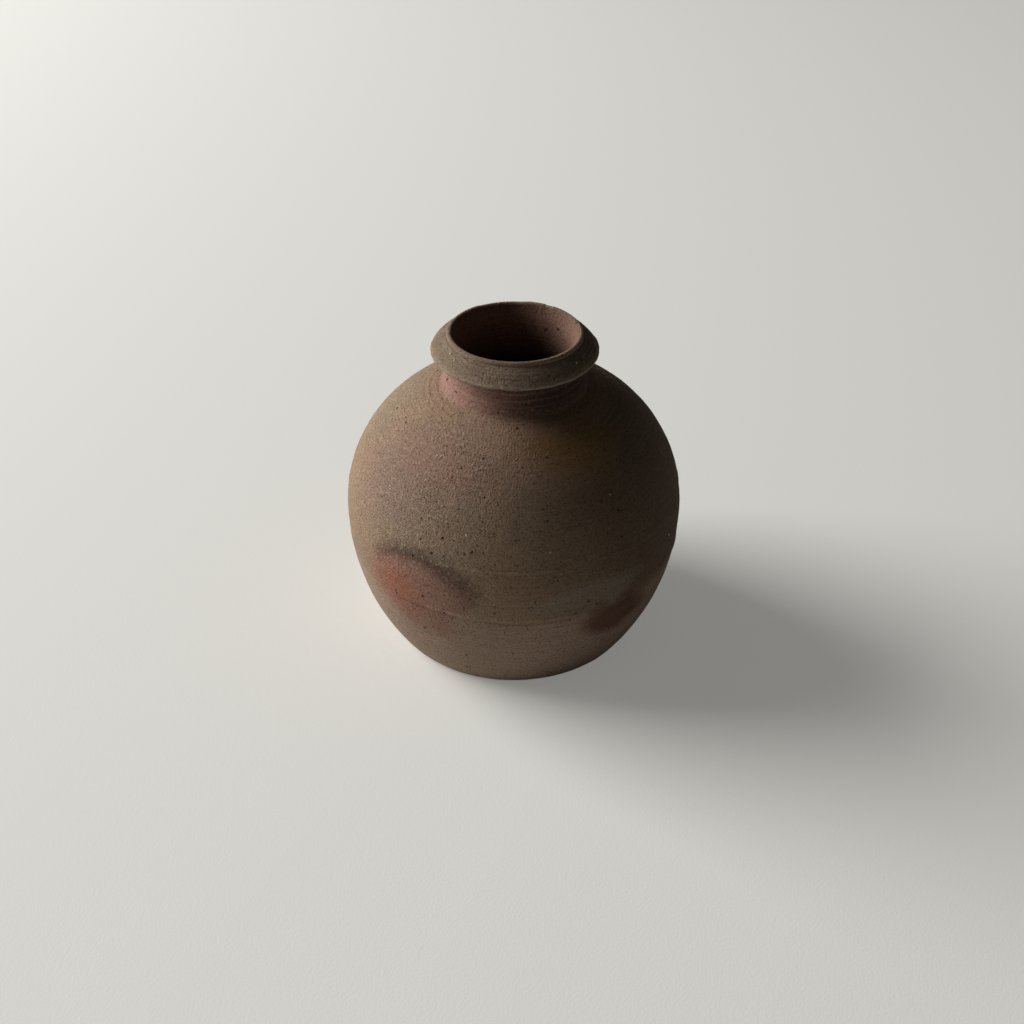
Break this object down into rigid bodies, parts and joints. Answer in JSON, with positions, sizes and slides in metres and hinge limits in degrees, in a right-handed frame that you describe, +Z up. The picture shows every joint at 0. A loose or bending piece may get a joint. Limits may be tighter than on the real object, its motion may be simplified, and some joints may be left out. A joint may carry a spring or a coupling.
{
  "type": "onggi jar",
  "caption": "Round unglazed stoneware jar with a flat foot, short ringed neck, sloping collar and thin lip, for keeping food or holding stems.",
  "frame": {"origin": "middle of the flat ring that the jar stands on", "axes": "+Z up through the middle of the mouth; -Y is the front that the picture shows"},
  "size_m": [0.12, 0.12, 0.1168],
  "materials": {
    "foot_clay": "bare fired clay, wiped smooth, with flame marks",
    "ash_clay": "bare sandy stoneware under a dry skin of ash",
    "neck_clay": "bare clay, fired pinkish brown, with finger rings",
    "collar_clay": "bare sandy stoneware, dry and matt",
    "feldspar": "broken white feldspar"
  },
  "bodies": {
    "root": {"base_slab": "foot_clay", "foot_wall": "foot_clay", "corner_coil": "foot_clay", "belly_wall": "ash_clay", "shoulder_wall": "ash_clay", "neck_wall": "neck_clay", "rim_collar": "collar_clay", "feldspar_grains": "feldspar"}
  },
  "joints": []
}
